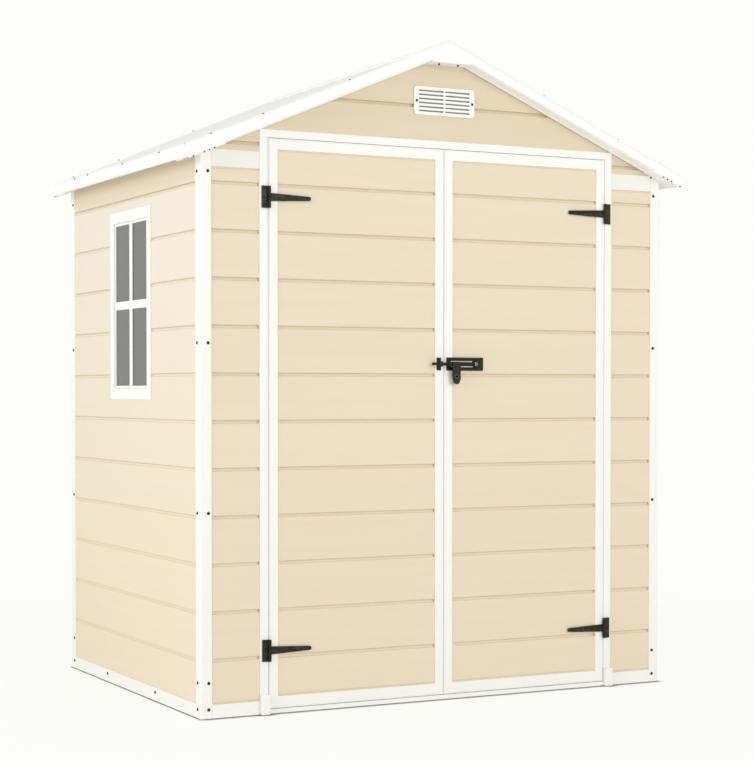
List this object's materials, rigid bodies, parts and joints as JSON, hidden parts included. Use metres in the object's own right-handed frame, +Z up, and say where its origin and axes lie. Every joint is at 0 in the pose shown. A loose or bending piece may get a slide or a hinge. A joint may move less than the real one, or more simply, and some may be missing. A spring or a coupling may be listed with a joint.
{
  "type": "storage shed",
  "caption": "Beige and white resin garden shed with a pitched roof, opening double doors with strap hinges and a sliding bolt, side windows and a gable vent.",
  "frame": {"origin": "on the ground at the middle of the shed's plan; the front with the doors faces -Y", "axes": "+X to the right along the front as seen from outside, +Y to the back, +Z up"},
  "size_m": [1.97, 1.476, 2.3087],
  "materials": {
    "white": "smooth moulded resin, faint satin sheen",
    "beige": "moulded resin with a fine wood-grain texture",
    "black": "black powder coat on pressed steel",
    "pane": "clear grey plastic pane"
  },
  "bodies": {
    "shed": {"floor": "white", "base_left": "white", "base_right": "white", "base_back": "white", "base_front": "white", "post_front_left": "white", "post_front_right": "white", "post_back_left": "white", "post_back_right": "white", "wall_left": "beige", "wall_right": "beige", "wall_back": "beige", "wall_front_left": "beige", "wall_front_right": "beige", "gable_front": "beige", "front_bands": "white", "door_post_left": "white", "door_post_right": "white", "door_head": "white", "door_feet": "white", "hinge_plates_left": "black", "hinge_plates_right": "black", "window_frame_left": "white", "window_frame_right": "white", "window_glass_left": "pane", "window_glass_right": "pane", "gable_vent": "white", "roof_left": "white", "roof_right": "white", "ridge_cap": "white", "roof_edge_front": "white", "roof_edge_back": "white", "roof_edge_left": "white", "roof_edge_right": "white", "roof_corner_caps": "white"},
    "left_door": {"door_left_panel": "beige", "door_left_border": "white", "hinge_straps_left": "black", "latch_keeper": "black"},
    "right_door": {"door_right_panel": "beige", "door_right_border": "white", "hinge_straps_right": "black", "latch_plate": "black"},
    "bolt": {"latch_rod": "black"},
    "lever": {"latch_lever": "black"}
  },
  "joints": [
    {"name": "left_door_hinge", "type": "hinge", "parent": "shed", "child": "left_door", "pos_m": [-0.6725, -0.687, 0], "axis": [0, 0, -1], "range_deg": [0, 120]},
    {"name": "right_door_hinge", "type": "hinge", "parent": "shed", "child": "right_door", "pos_m": [0.6725, -0.687, 0], "axis": [0, 0, 1], "range_deg": [0, 120]},
    {"name": "bolt_slide", "type": "slide", "parent": "right_door", "child": "bolt", "axis": [1, 0, 0], "range_m": [0, 0.06]},
    {"name": "lever_turn", "type": "hinge", "parent": "bolt", "child": "lever", "pos_m": [0, -0.691, 1.182], "axis": [-1, 0, 0], "range_deg": [0, 90]}
  ]
}
